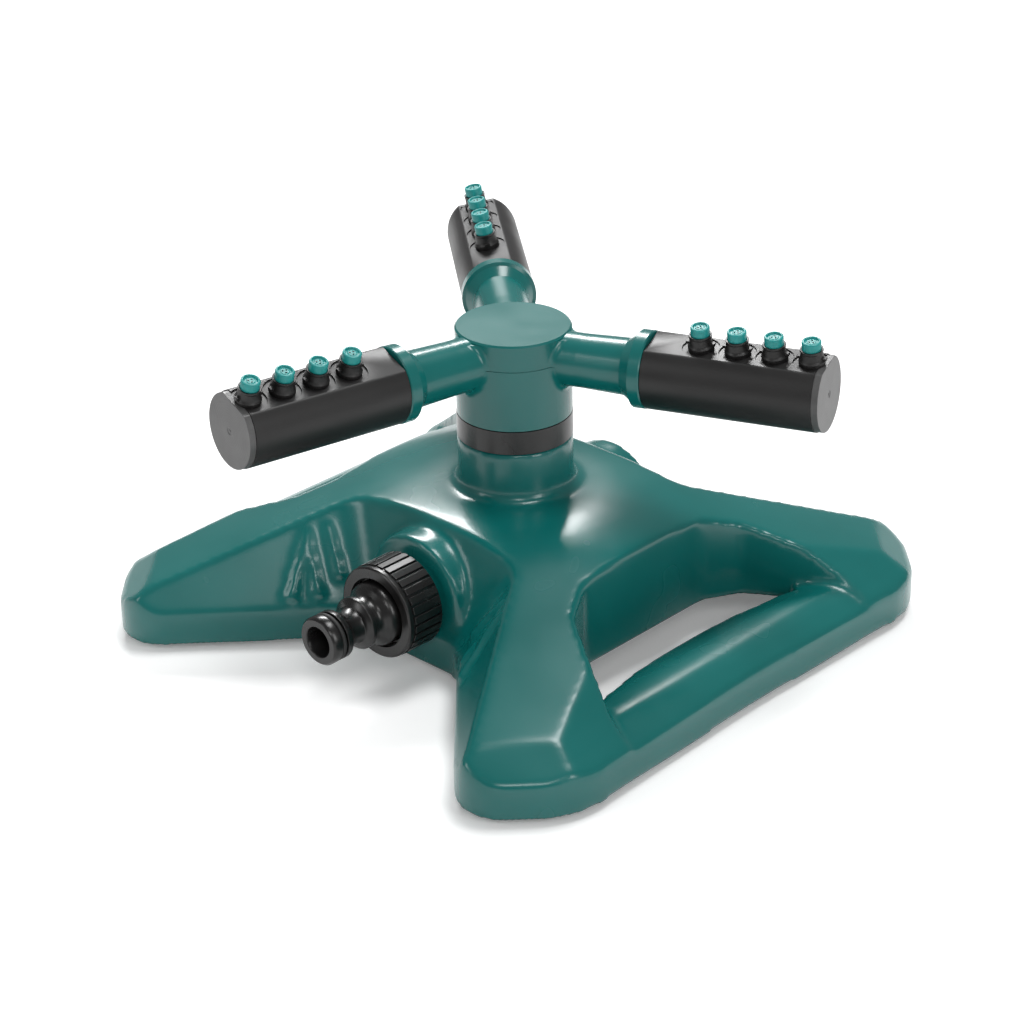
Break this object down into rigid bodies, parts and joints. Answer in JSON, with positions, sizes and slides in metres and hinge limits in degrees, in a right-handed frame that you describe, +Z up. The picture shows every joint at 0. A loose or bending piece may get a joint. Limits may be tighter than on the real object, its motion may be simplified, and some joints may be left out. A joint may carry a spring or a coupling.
{
  "type": "rotary garden sprinkler",
  "caption": "Rotating garden sprinkler: moulded base with four feet, three arms with turning nozzle heads, hose connector and plugged outlet.",
  "frame": {"origin": "on the floor under the rotor's axis, the middle of the base", "axes": "+Z up along the rotor's axis, -Y out of the hose connector, +X to the right seen from the connector"},
  "size_m": [0.2168, 0.2202, 0.1216],
  "materials": {
    "teal_plastic": "smooth moulded, semi-gloss",
    "black_plastic": "satin moulded",
    "turquoise_plastic": "moulded, slightly translucent",
    "gloss_black_plastic": "gloss moulded",
    "black_rubber": "soft, dull",
    "white_acetal": "natural acetal",
    "spring_steel": "rolled strip"
  },
  "bodies": {
    "base": {"base_shell": "teal_plastic", "foot_pad_front_left": "black_rubber", "foot_pad_front_right": "black_rubber", "foot_pad_rear_left": "black_rubber", "foot_pad_rear_right": "black_rubber", "bearing_ring": "black_plastic"},
    "rotor": {"rotor_body": "teal_plastic", "hub_cap": "teal_plastic", "hollow_shaft": "white_acetal", "shaft_seal": "black_rubber", "slip_washer": "white_acetal", "retaining_clip": "spring_steel", "arm_a_seal": "black_rubber", "arm_b_seal": "black_rubber", "arm_c_seal": "black_rubber"},
    "connector": {"hose_nipple": "gloss_black_plastic", "nipple_seal": "black_rubber", "inlet_washer": "black_rubber"},
    "nut": {"union_nut": "gloss_black_plastic"},
    "blanking_washer": {"outlet_washer": "black_rubber"},
    "blanking_plug": {"outlet_plug": "gloss_black_plastic"},
    "head_a": {"head_a_body": "black_plastic", "head_a_end_plug": "black_plastic", "head_a_nozzle_bases": "black_plastic", "head_a_nozzle_caps": "turquoise_plastic"},
    "head_b": {"head_b_body": "black_plastic", "head_b_end_plug": "black_plastic", "head_b_nozzle_bases": "black_plastic", "head_b_nozzle_caps": "turquoise_plastic"},
    "head_c": {"head_c_body": "black_plastic", "head_c_end_plug": "black_plastic", "head_c_nozzle_bases": "black_plastic", "head_c_nozzle_caps": "turquoise_plastic"}
  },
  "joints": [
    {"name": "rotor_spin", "type": "hinge", "parent": "base", "child": "rotor", "pos_m": [0, 0, 0.0789], "axis": [0, 0, 1], "continuous": true},
    {"name": "head_a_turn", "type": "hinge", "parent": "rotor", "child": "head_a", "pos_m": [-0.00911, -0.04966, 0.10106], "axis": [-0.1805, -0.9834, 0.0209], "continuous": true},
    {"name": "head_b_turn", "type": "hinge", "parent": "rotor", "child": "head_b", "pos_m": [0.04756, 0.01694, 0.10106], "axis": [0.9419, 0.3354, 0.0209], "continuous": true},
    {"name": "head_c_turn", "type": "hinge", "parent": "rotor", "child": "head_c", "pos_m": [-0.03845, 0.03272, 0.10106], "axis": [-0.7614, 0.648, 0.0209], "continuous": true},
    {"name": "connector_draw", "type": "slide", "parent": "base", "child": "connector", "axis": [0, -1, 0], "range_m": [0, 0.0083]},
    {"name": "nut_unscrew", "type": "hinge", "parent": "connector", "child": "nut", "pos_m": [0, -0.061, 0.0272], "axis": [0, -1, 0], "range_deg": [0, 1620]},
    {"name": "blanking_draw", "type": "slide", "parent": "base", "child": "blanking_washer", "axis": [0, 1, 0], "range_m": [0, 0.0088]},
    {"name": "plug_unscrew", "type": "hinge", "parent": "blanking_washer", "child": "blanking_plug", "pos_m": [0, 0.0525, 0.0272], "axis": [0, 1, 0], "range_deg": [0, 2340]}
  ],
  "couplings": [
    {"joint": "connector_draw", "follows": "nut_unscrew", "m_per_rad": 0.0002887},
    {"joint": "blanking_draw", "follows": "plug_unscrew", "m_per_rad": 0.0002128}
  ]
}
